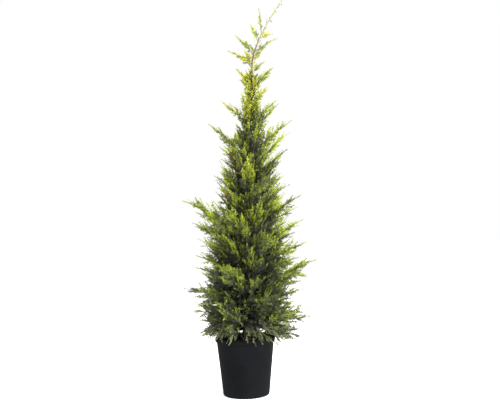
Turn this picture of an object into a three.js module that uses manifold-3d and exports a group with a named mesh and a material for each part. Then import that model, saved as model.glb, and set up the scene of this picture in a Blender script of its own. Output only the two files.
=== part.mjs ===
// A leyland cypress, about 1.85 m tall, growing in a black nursery pot.
// Millimetres, +Z up. The origin is the centre of the pot's flat underside.
// +X is the right of the crown, -X its left, -Y its front and +Y its back.
import * as THREE from "three";
import { mergeVertices } from "three/addons/utils/BufferGeometryUtils.js";
import Module from "manifold-3d";

const wasm = await Module();
wasm.setup();

// Clearance between pieces that meet.
const GAP = 0.3;

// Pot: a tapered bucket with a rolled lip, rounded foot and drain holes.
const POT_HEIGHT = 267;
const POT_RIM_RADIUS = 140;
const POT_BODY_TOP_RADIUS = 133.5;
const POT_BASE_RADIUS = 108;
const POT_WALL = 3;
const POT_FLOOR = 4;
const POT_FOOT_ROUND = 10;
const POT_LIP_DROP = 20;
const POT_LIP_ROUND = 4;
const POT_LIP_SLOPE = 1;
const POT_SIDES = 36;
const DRAIN_HOLES = 6;
const DRAIN_RADIUS = 9;
const DRAIN_CIRCLE = 78;
const DRAIN_SIDES = 8;

// Soil fills the pot to a little under its rim.
const SOIL_BELOW_RIM = 25;
const SOIL_TOP = POT_HEIGHT - SOIL_BELOW_RIM;

// Trunk: leans to the right, and its leader nods further right above the crown.
const TRUNK_TIP = 1853;
const TRUNK_LEAN = 0.05;
const TRUNK_NOD_START = 1560;
const TRUNK_NOD = 136;
const TRUNK_NOD_POWER = 1.5;
const TRUNK_SWAY = 7;
const TRUNK_RADIUS = 13;
const TRUNK_TIP_RADIUS = 1.2;
const TRUNK_TAPER_POWER = 0.9;
const FLARE_EXTRA = 8;
const FLARE_HEIGHT = 45;
const TRUNK_SIDES = 8;
const TRUNK_STEPS = 18;
const TRUNK_CROWDING = 1.5;

// Plumes are the feathery branches. On each side they follow one another up the trunk at an
// even step; first and step set the height of their tips, reach how far each tip stands out
// from the pot's axis on that side.
const SIDES = {
  left: {
    outward: new THREE.Vector3(-1, 0, 0),
    first: 276,
    step: 125,
    reach: [215, 235, 284, 205, 234, 259, 120, 85, 140, 75, 0],
  },
  right: {
    outward: new THREE.Vector3(1, 0, 0),
    first: 272,
    step: 107,
    reach: [268, 308, 265, 353, 280, 288, 262, 195, 207, 235, 172, 128, 150],
  },
  front: {
    outward: new THREE.Vector3(0, -1, 0),
    first: 330,
    step: 132,
    reach: [215, 250, 262, 240, 225, 195, 165, 140, 110],
  },
  back: {
    outward: new THREE.Vector3(0, 1, 0),
    first: 300,
    step: 138,
    reach: [225, 255, 270, 250, 225, 190, 160, 135, 105, 70],
  },
};
// A tip stands to one side of its own direction and then the other, by this share of its reach.
const TIP_SPREAD = 0.42;

// Sprays up the bare leader: where each leaves the trunk, its rise, bearing and length.
const LEADER_SPRAYS = [
  { start: 1545, rise: 32, bearing: 175, length: 135 },
  { start: 1590, rise: 50, bearing: 160, length: 140 },
  { start: 1655, rise: 62, bearing: 215, length: 85 },
  { start: 1690, rise: 86, bearing: 190, length: 128 },
  { start: 1560, rise: 48, bearing: 20, length: 85 },
  { start: 1608, rise: 34, bearing: -12, length: 132 },
  { start: 1672, rise: 20, bearing: 8, length: 66 },
];

// A plume rises steeply near the top of the crown and lies level at its foot.
const RISE_TOP = 56;
const RISE_POWER = 0.5;
const ARCH = 0.1;

// Boughs are bare limbs, and show only on the plumes whose tips are lower than this.
const BOUGH_TIPS_BELOW = 420;
const BOUGH_SHARE = 0.3;
const BOUGH_RADIUS = 5.5;
const BOUGH_END_RADIUS = 3.6;
const BOUGH_SIDES = 6;
const BOUGH_STEPS = 4;

// Stems carry the sprays of one mass of foliage.
const STEM_RADIUS = 3.4;
const STEM_TIP_RADIUS = 0.6;
const STEM_SIDES = 3;
const STEM_STEPS = 3;

// A dense core, fused round each stem, that the sprays stand out of: a spindle with teeth.
const CORE_RADIUS = 74;
const CORE_LENGTH_SHARE = 0.3;
const CORE_FROM = 0.04;
const CORE_TO = 0.95;
const CORE_END_RADIUS = 0.4;
const CORE_DRAWN_IN = 0.5;
const CORE_FORWARD = 0.7;
const CORE_SIDES = 6;
const CORE_STEPS = 5;
const ROOM_STEP = 4;

// Sprays are flat toothed blades, set alternately on the two sides of a stem.
const SPRAY_SPACING = 66;
const SPRAY_LEAST = 3;
const SPRAY_MOST = 5;
const SPRAY_FIRST_SHARE = 0.34;
const SPRAY_LAST_SHARE = 0.88;
const SPRAY_LENGTH = 128;
const SPRAY_LENGTH_SHARE = 0.52;
const SPRAY_LENGTH_VARIES = 0.15;
const SPRAY_TIP_SHARE = 0.5;
const SPRAY_ANGLE = 46;
const SPRAY_TIP_ANGLE = 28;
const SPRAY_ROLL = 36;
const SPRAY_ROLL_VARIES = 14;
const SPRAY_TRIES = [1, 0.78, 0.6];
const SPRAY_HALF_WIDTH = 0.27;
const SPRAY_HALF_THICKNESS = 0.022;
const SPRAY_RIDGE = 0.42;
const SPRAY_TEETH = 2;

// Teeth and notches along a spray's edge, as shares of its length and width.
const TOOTH_FIRST = 0.3;
const TOOTH_STEP = 0.32;
const TOOTH_SHRINK = 0.36;
const NOTCH_STEP = 0.1;
const NOTCH_WIDTH = 0.42;

// Foliage keeps clear of the middle between two plumes, of the trunk and of the pot's rim.
const SPACE_MARGIN = 5;
const LIMB_MARGIN = 3;
const RIM_MARGIN = 35;
const SEED = 41;
const SEED_STEP = 97;

const PLASTIC = { color: 0x24272a, roughness: 0.55, metalness: 0 };
const SOIL = { color: 0x2a2018, roughness: 0.95, metalness: 0 };
const BARK = { color: 0x6b4a35, roughness: 0.9, metalness: 0 };
const LEAF_LOW = new THREE.Color(0x5c7a22);
const LEAF_TOP = new THREE.Color(0xa9b233);

// Repeatable random numbers from 0 to 1.
function seeded(seed) {
  let state = seed;
  return () => {
    state = (1664525 * state + 1013904223) % 4294967296;
    return state / 4294967296;
  };
}

function solidOf(geometry) {
  const bare = new THREE.BufferGeometry();
  bare.setAttribute("position", geometry.getAttribute("position"));
  bare.setIndex(geometry.index);
  const merged = mergeVertices(bare, 1e-4);
  return new wasm.Manifold(
    new wasm.Mesh({
      numProp: 3,
      vertProperties: new Float32Array(merged.getAttribute("position").array),
      triVerts: new Uint32Array(merged.index.array),
    }),
  );
}

function geometryOf(solid) {
  const mesh = solid.getMesh();
  const geometry = new THREE.BufferGeometry();
  geometry.setAttribute("position", new THREE.BufferAttribute(mesh.vertProperties, 3));
  geometry.setIndex(new THREE.BufferAttribute(mesh.triVerts, 1));
  geometry.computeVertexNormals();
  return geometry;
}

function namedMesh(name, solid, look) {
  const mesh = new THREE.Mesh(geometryOf(solid), new THREE.MeshStandardMaterial(look));
  mesh.name = name;
  return mesh;
}

// The main body of a solid, without loose scraps and sealed hollows.
function mainBody(solid) {
  return solid.decompose().reduce((best, body) => (body.volume() > best.volume() ? body : best));
}

// The part of a curve from one share to another.
class Stretch extends THREE.Curve {
  constructor(curve, from, to) {
    super();
    Object.assign(this, { curve, from, to });
  }

  getPoint(t, target = new THREE.Vector3()) {
    return this.curve.getPoint(THREE.MathUtils.lerp(this.from, this.to, t), target);
  }
}

// The trunk's middle line, its points closer together towards the flared foot.
class TrunkLine extends THREE.Curve {
  getPoint(t, target = new THREE.Vector3()) {
    const share = t ** TRUNK_CROWDING;
    return target.copy(trunkAt(THREE.MathUtils.lerp(SOIL_TOP - FLARE_HEIGHT, TRUNK_TIP, share)));
  }
}

// The trunk's middle at a height.
function trunkAt(height) {
  const up = height - SOIL_TOP;
  const nod = Math.max(0, (height - TRUNK_NOD_START) / (TRUNK_TIP - TRUNK_NOD_START));
  const sway = TRUNK_SWAY * Math.sin((2 * Math.PI * up) / (TRUNK_TIP - SOIL_TOP));
  return new THREE.Vector3(TRUNK_LEAN * up + TRUNK_NOD * nod ** TRUNK_NOD_POWER, sway, height);
}

function trunkRadius(height) {
  const share = THREE.MathUtils.clamp((height - SOIL_TOP) / (TRUNK_TIP - SOIL_TOP), 0, 1);
  const flare = FLARE_EXTRA * Math.max(0, 1 - (height - SOIL_TOP) / FLARE_HEIGHT) ** 2;
  const taper = (TRUNK_RADIUS - TRUNK_TIP_RADIUS) * (1 - share) ** TRUNK_TAPER_POWER;
  return TRUNK_TIP_RADIUS + taper + flare;
}

// A closed limb along a curve that bends at right angles to the level direction; offsetAt tells
// where a corner of its cross-section lies from the middle line.
function limb(curve, level, offsetAt, sides, steps) {
  const tube = new THREE.CylinderGeometry(1, 1, 1, sides, steps);
  const position = tube.getAttribute("position");
  for (let i = 0; i < position.count; i += 1) {
    const [x, z] = [position.getX(i), position.getZ(i)];
    const share = position.getY(i) + 0.5;
    const tangent = curve.getTangent(share);
    const under = level.clone().cross(tangent).normalize();
    const way = level.clone().multiplyScalar(x).addScaledVector(under, z);
    const corner = Math.round((Math.abs(Math.atan2(x, z)) / (2 * Math.PI)) * sides);
    const point = curve.getPoint(share).add(offsetAt({ share, way, tangent, corner }));
    position.setXYZ(i, point.x, point.y, point.z);
  }
  return solidOf(tube);
}

// A round limb, its radius given by a function of the share of its length.
function roundLimb(curve, level, radiusAt, sides, steps) {
  return limb(curve, level, ({ share, way }) => way.multiplyScalar(radiusAt(share)), sides, steps);
}

// A solid of revolution about +Z from a path of radius and height.
function turned(path, arcSteps) {
  return solidOf(new THREE.LatheGeometry(path.getPoints(arcSteps), POT_SIDES).rotateX(Math.PI / 2));
}

// The pot's inner radius at a height.
function potInside(height) {
  const share = (height - POT_FOOT_ROUND) / (POT_HEIGHT - POT_LIP_DROP - POT_FOOT_ROUND);
  return THREE.MathUtils.lerp(POT_BASE_RADIUS, POT_BODY_TOP_RADIUS, share) - POT_WALL;
}

function makePot() {
  const lipFoot = POT_HEIGHT - POT_LIP_DROP;
  const mouth = potInside(POT_HEIGHT);
  const profile = new THREE.Path();
  profile.moveTo(0, 0);
  profile.lineTo(POT_BASE_RADIUS - POT_FOOT_ROUND, 0);
  profile.quadraticCurveTo(POT_BASE_RADIUS, 0, POT_BASE_RADIUS, POT_FOOT_ROUND);
  profile.lineTo(POT_BODY_TOP_RADIUS, lipFoot);
  profile.lineTo(POT_RIM_RADIUS - POT_LIP_SLOPE, lipFoot);
  profile.lineTo(POT_RIM_RADIUS, POT_HEIGHT - POT_LIP_ROUND);
  profile.quadraticCurveTo(POT_RIM_RADIUS, POT_HEIGHT, POT_RIM_RADIUS - POT_LIP_ROUND, POT_HEIGHT);
  profile.lineTo(mouth, POT_HEIGHT);
  profile.lineTo(potInside(POT_FLOOR + POT_FOOT_ROUND), POT_FLOOR + POT_FOOT_ROUND);
  profile.lineTo(potInside(POT_FLOOR) - POT_FOOT_ROUND, POT_FLOOR);
  profile.lineTo(0, POT_FLOOR);
  const drains = Array.from({ length: DRAIN_HOLES }, (_, i) => {
    const turn = (2 * Math.PI * i) / DRAIN_HOLES;
    const hole = new THREE.CylinderGeometry(DRAIN_RADIUS, DRAIN_RADIUS, 4 * POT_FLOOR, DRAIN_SIDES);
    hole.rotateX(Math.PI / 2);
    hole.translate(DRAIN_CIRCLE * Math.cos(turn), DRAIN_CIRCLE * Math.sin(turn), 0);
    return solidOf(hole);
  });
  return turned(profile, 2).subtract(wasm.Manifold.union(drains));
}

function makeSoil() {
  const foot = POT_FLOOR + GAP;
  const shoulder = foot + POT_FOOT_ROUND;
  const profile = new THREE.Path();
  profile.moveTo(0, foot);
  profile.lineTo(potInside(POT_FLOOR) - POT_FOOT_ROUND - GAP, foot);
  profile.lineTo(potInside(shoulder) - 2 * GAP, shoulder);
  profile.lineTo(potInside(SOIL_TOP) - 2 * GAP, SOIL_TOP);
  profile.lineTo(0, SOIL_TOP);
  return turned(profile, 1);
}

// A plume's curve runs from the trunk's middle, over an arch, to its tip.
function plumeCurve(start, tip) {
  const bend = start.clone().lerp(tip, 0.5);
  bend.z += ARCH * start.distanceTo(tip);
  return new THREE.QuadraticBezierCurve3(start, bend, tip);
}

function sidePlumes([side, { outward, first, step, reach }]) {
  const across = new THREE.Vector3(-outward.y, outward.x, 0);
  return reach.map((far, i) => {
    const height = first + step * i;
    const share = (height - first) / (TRUNK_TIP - first);
    const rise = THREE.MathUtils.degToRad(RISE_TOP * share ** RISE_POWER);
    const trunk = trunkAt(height);
    const spread = TIP_SPREAD * Math.max(far, STEM_RADIUS) * (i % 2 ? 1 : -1);
    const tip = new THREE.Vector3(0, 0, height).addScaledVector(outward, far);
    tip.addScaledVector(across, spread + across.dot(trunk));
    const away = Math.hypot(tip.x - trunk.x, tip.y - trunk.y);
    const curve = plumeCurve(trunkAt(height - away * Math.tan(rise)), tip);
    return { name: `${side}_${i + 1}`, curve, hasBough: height < BOUGH_TIPS_BELOW };
  });
}

function leaderPlume({ start, rise, bearing, length }, i) {
  const [up, turn] = [rise, bearing].map(THREE.MathUtils.degToRad);
  const away = length * Math.cos(up);
  const foot = trunkAt(start);
  const tip = new THREE.Vector3(away * Math.cos(turn), away * Math.sin(turn), length * Math.sin(up));
  tip.add(foot);
  return { name: `leader_${i + 1}`, curve: plumeCurve(foot, tip), hasBough: false };
}

const plumes = [...Object.entries(SIDES).flatMap(sidePlumes), ...LEADER_SPRAYS.map(leaderPlume)];
plumes.forEach((plume) => {
  plume.length = plume.curve.getLength();
  plume.points = plume.curve.getPoints(3 * STEM_STEPS);
  const { v0: start, v2: tip } = plume.curve;
  plume.level = new THREE.Vector3(start.y - tip.y, tip.x - start.x, 0).normalize();
  plume.stemFrom = plume.hasBough ? BOUGH_SHARE : 0;
});

function distanceToPath(point, path) {
  const piece = new THREE.Line3();
  const nearest = new THREE.Vector3();
  return path.slice(1).reduce((least, end, i) => {
    piece.set(path[i], end).closestPointToPoint(point, true, nearest);
    return Math.min(least, nearest.distanceTo(point));
  }, Infinity);
}

// How far a point is from the nearest other plume's middle line.
function distanceToOthers(point, plume) {
  const others = plumes.filter((other) => other !== plume);
  return Math.min(...others.map((other) => distanceToPath(point, other.points)));
}

// How far a point is from the trunk's bark or the pot, whichever is nearer.
function distanceToTrunkOrPot(point) {
  const middle = trunkAt(point.z);
  const trunk = Math.hypot(point.x - middle.x, point.y - middle.y) - trunkRadius(point.z);
  const beyondRim = Math.max(0, Math.hypot(point.x, point.y) - POT_RIM_RADIUS - RIM_MARGIN);
  const overRim = Math.max(0, point.z - POT_HEIGHT);
  return Math.min(trunk, Math.hypot(beyondRim, overRim));
}

// Whether a point lies in a plume's own space: nearer to it than to any other, off trunk and pot.
function isOwnSpace(point, plume) {
  if (distanceToTrunkOrPot(point) < LIMB_MARGIN) return false;
  return distanceToOthers(point, plume) > distanceToPath(point, plume.points) + SPACE_MARGIN;
}

// The outline of a spray, with teeth along both sides, as shares of its length.
function sprayOutline() {
  const side = [];
  for (let tooth = 0; tooth < SPRAY_TEETH; tooth += 1) {
    const along = TOOTH_FIRST + TOOTH_STEP * tooth;
    const wide = SPRAY_HALF_WIDTH * (1 - TOOTH_SHRINK * tooth);
    side.push([along, wide], [along + NOTCH_STEP, NOTCH_WIDTH * wide]);
  }
  const mirrored = side.map(([along, wide]) => [along, -wide]).reverse();
  return [[0, 0], ...side, [1, 0], ...mirrored];
}
const SPRAY_OUTLINE = sprayOutline();

// A toothed blade with sharp edges, thickest at its ridge: its points, first the outline.
function sprayPoints(root, along, across, length) {
  const face = new THREE.Vector3().crossVectors(along, across).normalize();
  const place = (share, wide, thick) =>
    root
      .clone()
      .addScaledVector(along, share * length)
      .addScaledVector(across, wide * length)
      .addScaledVector(face, thick * length);
  return [
    ...SPRAY_OUTLINE.map(([share, wide]) => place(share, wide, 0)),
    place(SPRAY_RIDGE, 0, SPRAY_HALF_THICKNESS),
    place(SPRAY_RIDGE, 0, -SPRAY_HALF_THICKNESS),
  ];
}

function spraySolid(points) {
  const rim = SPRAY_OUTLINE.length;
  const faces = SPRAY_OUTLINE.flatMap((_, i) => {
    const next = (i + 1) % rim;
    return [next, i, rim, i, next, rim + 1];
  });
  const blade = new THREE.BufferGeometry().setFromPoints(points);
  blade.setIndex(faces);
  return solidOf(blade);
}

// How far a plume's own space goes from a point one way, up to a limit.
function roomAlong(plume, point, way, most) {
  const probe = point.clone().addScaledVector(way, ROOM_STEP);
  let far = 0;
  while (far < most && isOwnSpace(probe, plume)) {
    far += ROOM_STEP;
    probe.addScaledVector(way, ROOM_STEP);
  }
  return Math.min(far, most);
}

// The width of a flame along its length, from 0 at both ends to 1 at a third.
function flame(share) {
  return 1.5 * Math.sqrt(3 * share) * (1 - share);
}

// The core of one plume: every other corner is a tooth that points outward and forward, as far as
// the plume's own space allows, and the corners between are drawn in.
function makeCore(plume) {
  const from = THREE.MathUtils.lerp(plume.stemFrom, 1, CORE_FROM);
  const to = THREE.MathUtils.lerp(plume.stemFrom, 1, CORE_TO);
  const thickest = Math.min(CORE_RADIUS, CORE_LENGTH_SHARE * plume.length);
  const offsetAt = ({ share, way, tangent, corner }) => {
    const atEnd = share === 0 || share === 1;
    if (atEnd) return way.multiplyScalar(CORE_END_RADIUS);
    const isTooth = (Math.round(share * CORE_STEPS) + corner) % 2 === 1;
    const point = plume.curve.getPoint(THREE.MathUtils.lerp(from, to, share));
    const most = thickest * flame(share);
    if (isTooth) way.addScaledVector(tangent, CORE_FORWARD);
    const far = roomAlong(plume, point, way, most);
    return way.multiplyScalar(isTooth ? far : CORE_DRAWN_IN * far);
  };
  return limb(new Stretch(plume.curve, from, to), plume.level, offsetAt, CORE_SIDES, CORE_STEPS);
}

// A random amount, up or down.
function varied(random, amount) {
  return amount * (2 * random() - 1);
}

// One spray, leaving its stem at an angle and turned about it, as long as its own space allows.
function fitSpray(plume, at, angle, turn, length) {
  const tangent = plume.curve.getTangent(at);
  const out = plume.level.clone().applyAxisAngle(tangent, turn);
  const along = tangent.clone().multiplyScalar(Math.cos(angle)).addScaledVector(out, Math.sin(angle));
  const across = out.multiplyScalar(Math.cos(angle)).addScaledVector(tangent, -Math.sin(angle));
  const root = plume.curve.getPoint(at);
  const tries = SPRAY_TRIES.map((size) => sprayPoints(root, along, across, size * length));
  return tries.find((points) => points.slice(1).every((point) => isOwnSpace(point, plume)));
}

// The sprays of one plume, alternately on its two sides and shorter towards its tip.
function makeSprays(plume, random) {
  const { degToRad, lerp, clamp } = THREE.MathUtils;
  const leafy = plume.length * (1 - plume.stemFrom);
  const longest = Math.min(SPRAY_LENGTH, SPRAY_LENGTH_SHARE * plume.length);
  const count = clamp(Math.round(leafy / SPRAY_SPACING), SPRAY_LEAST, SPRAY_MOST);
  const sprays = [];
  for (let i = 0; i < count; i += 1) {
    const share = lerp(SPRAY_FIRST_SHARE, SPRAY_LAST_SHARE, i / (count - 1));
    const angle = degToRad(lerp(SPRAY_ANGLE, SPRAY_TIP_ANGLE, share));
    const roll = (i % 4 < 2 ? SPRAY_ROLL : -SPRAY_ROLL) + varied(random, SPRAY_ROLL_VARIES);
    const turn = degToRad(roll + (i % 2 ? 180 : 0));
    const length = longest * lerp(1, SPRAY_TIP_SHARE, share) * (1 + varied(random, SPRAY_LENGTH_VARIES));
    const points = fitSpray(plume, lerp(plume.stemFrom, 1, share), angle, turn, length);
    if (points) sprays.push(spraySolid(points));
  }
  return sprays;
}

function makeBough(plume, trunkSpace) {
  const taper = (share) => THREE.MathUtils.lerp(BOUGH_RADIUS, BOUGH_END_RADIUS, share);
  const bare = new Stretch(plume.curve, 0, BOUGH_SHARE - GAP / plume.length);
  return mainBody(roundLimb(bare, plume.level, taper, BOUGH_SIDES, BOUGH_STEPS).subtract(trunkSpace));
}

function makeFoliage(plume, trunkSpace, random) {
  const taper = (share) => THREE.MathUtils.lerp(STEM_RADIUS, STEM_TIP_RADIUS, share);
  const leafy = new Stretch(plume.curve, plume.stemFrom, 1);
  const stem = roundLimb(leafy, plume.level, taper, STEM_SIDES, STEM_STEPS);
  const fused = wasm.Manifold.union([stem, makeCore(plume), ...makeSprays(plume, random)]);
  return mainBody(fused.subtract(trunkSpace));
}

// The trunk, or the space round it that other pieces keep out of.
function makeTrunk(clearance) {
  const line = new TrunkLine();
  const radiusAt = (share) => trunkRadius(line.getPoint(share).z) + clearance;
  return roundLimb(line, new THREE.Vector3(0, 1, 0), radiusAt, TRUNK_SIDES, TRUNK_STEPS);
}

// A block with its top at ground level, which cuts the trunk's foot flat.
function makeGround() {
  const block = new THREE.BoxGeometry(POT_RIM_RADIUS, POT_RIM_RADIUS, 2 * POT_RIM_RADIUS);
  return solidOf(block.translate(0, 0, SOIL_TOP + GAP - POT_RIM_RADIUS));
}

const trunk = makeTrunk(0).subtract(makeGround());
const trunkSpace = makeTrunk(GAP);

const tree = new THREE.Group();
tree.add(namedMesh("pot", makePot(), PLASTIC));
tree.add(namedMesh("soil", makeSoil(), SOIL));
tree.add(namedMesh("trunk", trunk, BARK));
plumes.forEach((plume, i) => {
  const height = plume.curve.getPoint(1).z / TRUNK_TIP;
  const look = { color: LEAF_LOW.clone().lerp(LEAF_TOP, height), roughness: 0.7, metalness: 0 };
  const foliage = makeFoliage(plume, trunkSpace, seeded(SEED + SEED_STEP * i));
  if (plume.hasBough) tree.add(namedMesh(`bough_${plume.name}`, makeBough(plume, trunkSpace), BARK));
  tree.add(namedMesh(`foliage_${plume.name}`, foliage, look));
});

export default tree;
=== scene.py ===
# The looks of a leyland cypress, about 1.85 m tall, in a black nursery pot.
# Metres, +Z up. The origin is the centre of the pot's flat underside and -Y is the front.
import math

import bpy
import numpy as np
from mathutils import Matrix, Vector, noise


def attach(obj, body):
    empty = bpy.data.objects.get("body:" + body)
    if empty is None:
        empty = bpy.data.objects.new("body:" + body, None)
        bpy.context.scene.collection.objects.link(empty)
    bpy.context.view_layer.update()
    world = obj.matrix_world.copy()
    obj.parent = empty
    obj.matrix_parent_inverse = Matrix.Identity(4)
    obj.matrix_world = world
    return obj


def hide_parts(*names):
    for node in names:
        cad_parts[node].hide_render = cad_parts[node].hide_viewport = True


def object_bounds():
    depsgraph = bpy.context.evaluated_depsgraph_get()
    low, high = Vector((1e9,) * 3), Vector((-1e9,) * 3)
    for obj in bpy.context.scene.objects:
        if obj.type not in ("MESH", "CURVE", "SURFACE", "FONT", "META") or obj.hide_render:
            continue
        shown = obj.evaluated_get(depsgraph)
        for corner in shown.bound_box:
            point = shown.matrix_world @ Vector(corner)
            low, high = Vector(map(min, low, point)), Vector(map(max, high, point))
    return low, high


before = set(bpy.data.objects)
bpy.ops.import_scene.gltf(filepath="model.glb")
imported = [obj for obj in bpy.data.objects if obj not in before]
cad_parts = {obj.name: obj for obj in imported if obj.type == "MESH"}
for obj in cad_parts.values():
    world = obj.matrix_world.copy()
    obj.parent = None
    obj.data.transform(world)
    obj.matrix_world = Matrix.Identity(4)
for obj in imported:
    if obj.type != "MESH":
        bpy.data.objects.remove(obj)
CAD_BOX = [list(corner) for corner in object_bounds()]
BODY = "root"
NODES = sorted(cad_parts)
FOLIAGE_NODES = [name for name in NODES if name.startswith("foliage_")]
BOUGH_NODES = [name for name in NODES if name.startswith("bough_")]

SEED = 41
UP = np.array([0, 0, 1.0])
BACKWARD = np.array([0, 1.0, 0])
SIGNS = (-1.0, 1.0)
GOLDEN_ANGLE = math.pi * (3 - math.sqrt(5))
WHITE = (1, 1, 1, 1)

# ---- sizes: pot and compost ----

# Pot: a tapered bucket with a rolled lip, rounded foot and drain holes.
POT_HEIGHT = 0.267
POT_RIM_RADIUS = 0.140
POT_BODY_TOP_RADIUS = 0.1335
POT_BASE_RADIUS = 0.108
POT_WALL = 0.003
POT_FLOOR = 0.004
POT_FOOT_ROUND = 0.010
POT_LIP_DROP = 0.020
POT_LIP_ROUND = 0.004
POT_LIP_SLOPE = 0.001
POT_LIP_FILLET = 0.0025
POT_SIDES = 144
POT_RINGS = 24
ARC_STEPS = 6
DRAIN_HOLES = 6
DRAIN_RADIUS = 0.009
DRAIN_CIRCLE = 0.078
DRAIN_SIDES = 24

# Compost fills the pot to a little under its rim.
SOIL_BELOW_RIM = 0.025
SOIL_TOP = POT_HEIGHT - SOIL_BELOW_RIM
SOIL_CLEARANCE = 0.0006
SOIL_RINGS = 44
SOIL_SIDES = 150
SOIL_RELIEF = 0.006
# Its lumps and grains: how often they come, where their noise starts and how high they are.
SOIL_LUMPS = ((28, 3, 0.5), (110, 7, 0.35))
SOIL_MOUND = 0.6
SOIL_MOUND_RADIUS = 0.08
SOIL_SINK = 0.3
# Crumbs lie on it, most of them small.
CRUMBS = 420
CRUMB_SPREAD = 0.96
CRUMB_SIZES = (0.0022, 0.0075)
CRUMB_SIZE_POWER = 3
CRUMB_WIDTHS = (0.35, 0.9)
CRUMB_HEIGHTS = (0.3, 0.6)
CRUMB_LUMPS = (0.75, 1.2)
CRUMB_SIDES = 6
CRUMB_RISES = (-50, 0, 50)

# ---- sizes: trunk and limbs ----
# A table of two rows gives values at places, and is read between them.

# Trunk: leans to the right, and its leader nods further right above the crown.
TRUNK_TIP = 1.853
TRUNK_SUNK = 0.004
TRUNK_LEAN = 0.05
TRUNK_NOD_START = 1.560
TRUNK_NOD = 0.136
TRUNK_NOD_POWER = 1.5
TRUNK_SWAY = 0.007
TRUNK_RADIUS = 0.013
TRUNK_TIP_RADIUS = 0.0009
FLARE_EXTRA = 0.008
FLARE_HEIGHT = 0.045
TRUNK_SIDES = 26
TRUNK_STEPS = 320
TRUNK_STEP_POWER = 1.1
# Bark: how often its strings and furrows come round a limb and along it, and where each starts.
BARK_RELIEF = 0.10
BARK_STRINGS = (3.2, 14, 0)
BARK_FURROWS = (7, 45, 9)
FURROW_DEPTH = 0.5

# Plumes on each side of the tree: where it faces, the height of its first tip and the step to the
# next, and how far each tip stands out from the pot's axis on that side.
SIDES = {
    "left": ((-1, 0, 0), 0.276, 0.125,
             (0.215, 0.235, 0.284, 0.205, 0.234, 0.259, 0.120, 0.085, 0.140, 0.075, 0)),
    "right": ((1, 0, 0), 0.272, 0.107,
              (0.268, 0.308, 0.265, 0.353, 0.280, 0.288, 0.262, 0.195, 0.207, 0.235, 0.172,
               0.128, 0.150)),
    "front": ((0, -1, 0), 0.330, 0.132,
              (0.215, 0.250, 0.262, 0.240, 0.225, 0.195, 0.165, 0.140, 0.110)),
    "back": ((0, 1, 0), 0.300, 0.138,
             (0.225, 0.255, 0.270, 0.250, 0.225, 0.190, 0.160, 0.135, 0.105, 0.070)),
}
# How far their tips swing to either side, as a share of how far they stand out.
TIP_SPREAD = 0.42
# How much further a limb goes here than in the solids, whose sprays reach past its tip.
SPRAY_EXTRA = {"left": 0.012, "right": 0.010, "front": 0.034, "back": 0.034}
# Slighter plumes between those at the left and right: how far across and how high each tip is.
EDGE_PLUMES = (
    (0.246, 1.276), (0.177, 1.372), (0.231, 0.973), (0.257, 0.862), (0.248, 0.520), (0.232, 0.440),
    (0.328, 0.352), (0.276, 0.290), (-0.216, 0.274), (-0.214, 0.345), (-0.222, 0.412),
    (-0.225, 0.592), (-0.114, 0.965), (-0.104, 1.040), (-0.092, 1.100), (-0.078, 1.160),
    (0.240, 0.400), (-0.205, 0.455), (0.005, 1.475), (-0.222, 0.785), (0.262, 0.628),
    (0.262, 0.545), (-0.232, 0.485), (0.245, 0.745),
)
# By side and rank: how far a plume's tip droops, its arch if that is more, how much brighter it is.
DROOPS = {("left", 3): 0.040, ("left", 5): -0.028, ("left", 10): 0.030,
          ("right", 4): -0.018, ("right", 13): 0.045}
ARCHES = {("left", 6): 0.20, ("left", 5): 0.16}
PLUME_MOODS = {("left", 5): 0.06, ("left", 6): 0.16, ("left", 9): 0.18, ("right", 10): 0.16}
# Sprays up the bare leader, then shorter ones near its foot: their start, rise, bearing and length.
LEADER_SPRAYS = (
    (1.545, 32, 175, 0.135), (1.590, 50, 160, 0.140), (1.655, 62, 215, 0.085),
    (1.690, 86, 190, 0.128), (1.560, 48, 20, 0.085), (1.600, 29, -12, 0.126),
    (1.672, 20, 8, 0.066),
    (1.520, 70, 170, 0.095), (1.545, 62, 200, 0.075), (1.505, 38, -15, 0.082),
    (1.600, 55, 120, 0.060),
)
# Limbs rise more steeply the higher they are, in degrees.
RISE_TOP = 56
RISE_POWER = 0.5
ARCH = 0.1
STEM_RADIUS = 0.0034
STEM_TIP_RADIUS = 0.0007
BOUGH_RADIUS = 0.0055
BOUGH_TIPS_BELOW = 0.420
LIMB_SIDES = 6
LIMB_STEPS = 10
LIMB_TAPER_POWER = 0.8
LENGTH_STEPS = 9
# A limb has bark up to this share of its way; its end is green.
BARK_END = 0.76
GREEN_END_RADIUS = 0.0012
TWIG_RADIUS = 0.0010
TWIG_TIP_RADIUS = 0.7 * STEM_TIP_RADIUS
TWIG_SIDES = 3
TWIG_STEPS = 4

# The crown's leafy radius by height.
CROWN = ((0.27, 0.36, 0.44, 0.724, 0.913, 1.102, 1.197, 1.315, 1.40, 1.48, 1.57),
         (0.190, 0.224, 0.226, 0.208, 0.160, 0.132, 0.102, 0.067, 0.045, 0.034, 0.020))
CROWN_FOOT = CROWN[0][0]
CROWN_TOP_EXTRA = 0.06
# Lesser limbs between the plumes: how many, and how far they reach as shares of that radius.
LESSER_LIMBS = 275
LESSER_REACH = (0.78, 1.20)
LESSER_REACH_POWER = 1.6
LESSER_ARCH = (-0.24, 0.02)
LESSER_TURN_VARIES = 0.35
LESSER_HEIGHTS = (0.335, 1.52)
LESSER_HEIGHT_STEPS = 400
LEAST_REACH = 0.036
TIP_LIFT_VARIES = 0.14
# Shorter ones fill the crown's inside, and more of them close its upper part.
INNER_LIMBS = 360
INNER_REACH = (0.20, 0.72)
TOP_LIMBS = 80
TOP_REACH = (0.30, 0.95)
TOP_HEIGHTS = (0.96, 1.42)
# Only the lowest plumes hang below the crown's skirt.
SKIRT = 0.308
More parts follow.
